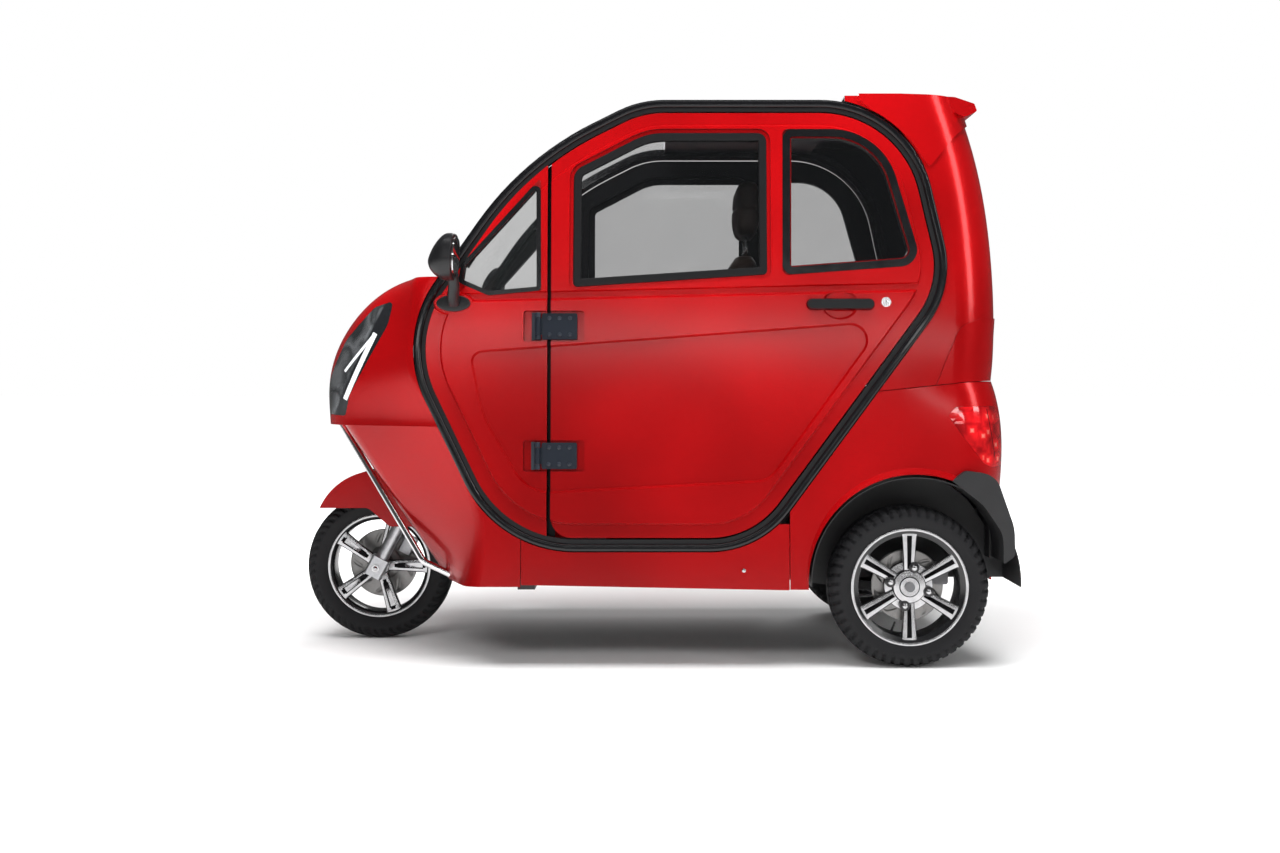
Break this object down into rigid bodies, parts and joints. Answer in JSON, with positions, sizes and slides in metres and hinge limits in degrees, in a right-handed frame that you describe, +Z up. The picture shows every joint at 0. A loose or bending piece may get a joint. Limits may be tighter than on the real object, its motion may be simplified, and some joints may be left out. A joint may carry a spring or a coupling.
{
  "type": "cabin scooter",
  "caption": "Enclosed electric cabin scooter with one steered front wheel, driven rear wheels, looped side frames, wide hinged doors and tandem seats.",
  "frame": {"origin": "on the ground, midway along the length and width", "axes": "+X to the rear of the vehicle, +Y to its right-hand side, +Z up"},
  "size_m": [2.1779, 1.4122, 1.673],
  "materials": {
    "red_body": "metallic gloss",
    "gloss_black": "gloss",
    "black_steel": "satin",
    "hinge_grey": "satin",
    "grey_steel": "rough",
    "silver_alloy": "machined",
    "black_alloy": "gloss with machined faces",
    "chrome": "polished",
    "black_plastic": "textured",
    "black_rubber": "matt",
    "tyre_rubber": "matt",
    "clear_glass": "clear",
    "tinted_glass": "tinted",
    "lamp_clear": "clear lens",
    "lamp_red": "clear red lens",
    "brown_leather": "soft grain"
  },
  "bodies": {
    "body": {"chassis_frame": "black_steel", "floor_pan": "black_steel", "rear_deck": "black_steel", "side_frames": "gloss_black", "roof_panel": "red_body", "windscreen": "clear_glass", "nose_shell": "red_body", "quarter_panels": "red_body", "quarter_glasses": "clear_glass", "hinge_brackets": "hinge_grey", "rear_upper_shell": "red_body", "rear_glass": "tinted_glass", "rear_spoiler": "red_body", "rear_lower_body": "red_body", "arch_trims": "black_plastic", "rear_bumper": "black_plastic", "sills": "red_body", "wheel_liners": "black_plastic", "headlamps": "lamp_clear", "tail_lamps": "lamp_red", "bumper_bar": "chrome", "mirrors": "gloss_black", "wiper": "black_plastic", "dashboard": "black_plastic", "seat_base": "black_plastic", "battery_pack": "black_plastic", "driver_seat_cushion": "brown_leather", "driver_backrest": "brown_leather", "rear_bench_cushion": "brown_leather", "rear_backrest": "brown_leather", "rear_axle": "grey_steel", "rear_suspension": "black_steel"},
    "steering": {"fork": "silver_alloy", "handlebar": "black_steel", "front_mudguard": "red_body"},
    "front_wheel": {"front_tyre": "tyre_rubber", "front_rim": "silver_alloy"},
    "rear_wheel_left": {"rear_tyre_left": "tyre_rubber", "rear_rim_left": "black_alloy"},
    "rear_wheel_right": {"rear_tyre_right": "tyre_rubber", "rear_rim_right": "black_alloy"},
    "door_left": {"door_panel_left": "red_body", "door_glass_left": "tinted_glass", "door_trim_left": "black_rubber"},
    "door_right": {"door_panel_right": "red_body", "door_glass_right": "tinted_glass", "door_trim_right": "black_rubber"}
  },
  "joints": [
    {"name": "steering_turn", "type": "hinge", "parent": "body", "child": "steering", "pos_m": [-0.845, 0, 0.235], "axis": [0.4648, 0, 0.8854], "range_deg": [-35, 35]},
    {"name": "front_wheel_spin", "type": "hinge", "parent": "steering", "child": "front_wheel", "pos_m": [-0.845, 0, 0.235], "axis": [0, 1, 0], "continuous": true},
    {"name": "rear_wheel_left_spin", "type": "hinge", "parent": "body", "child": "rear_wheel_left", "pos_m": [0.783, -0.4525, 0.235], "axis": [0, 1, 0], "continuous": true},
    {"name": "rear_wheel_right_spin", "type": "hinge", "parent": "body", "child": "rear_wheel_right", "pos_m": [0.783, 0.4525, 0.235], "axis": [0, 1, 0], "continuous": true},
    {"name": "door_left_swing", "type": "hinge", "parent": "body", "child": "door_left", "pos_m": [-0.294, -0.51901, 0.79935], "axis": [0, -0.0532, -0.9986], "range_deg": [0, 65]},
    {"name": "door_right_swing", "type": "hinge", "parent": "body", "child": "door_right", "pos_m": [-0.294, 0.51901, 0.79935], "axis": [0, -0.0532, 0.9986], "range_deg": [0, 65]}
  ]
}
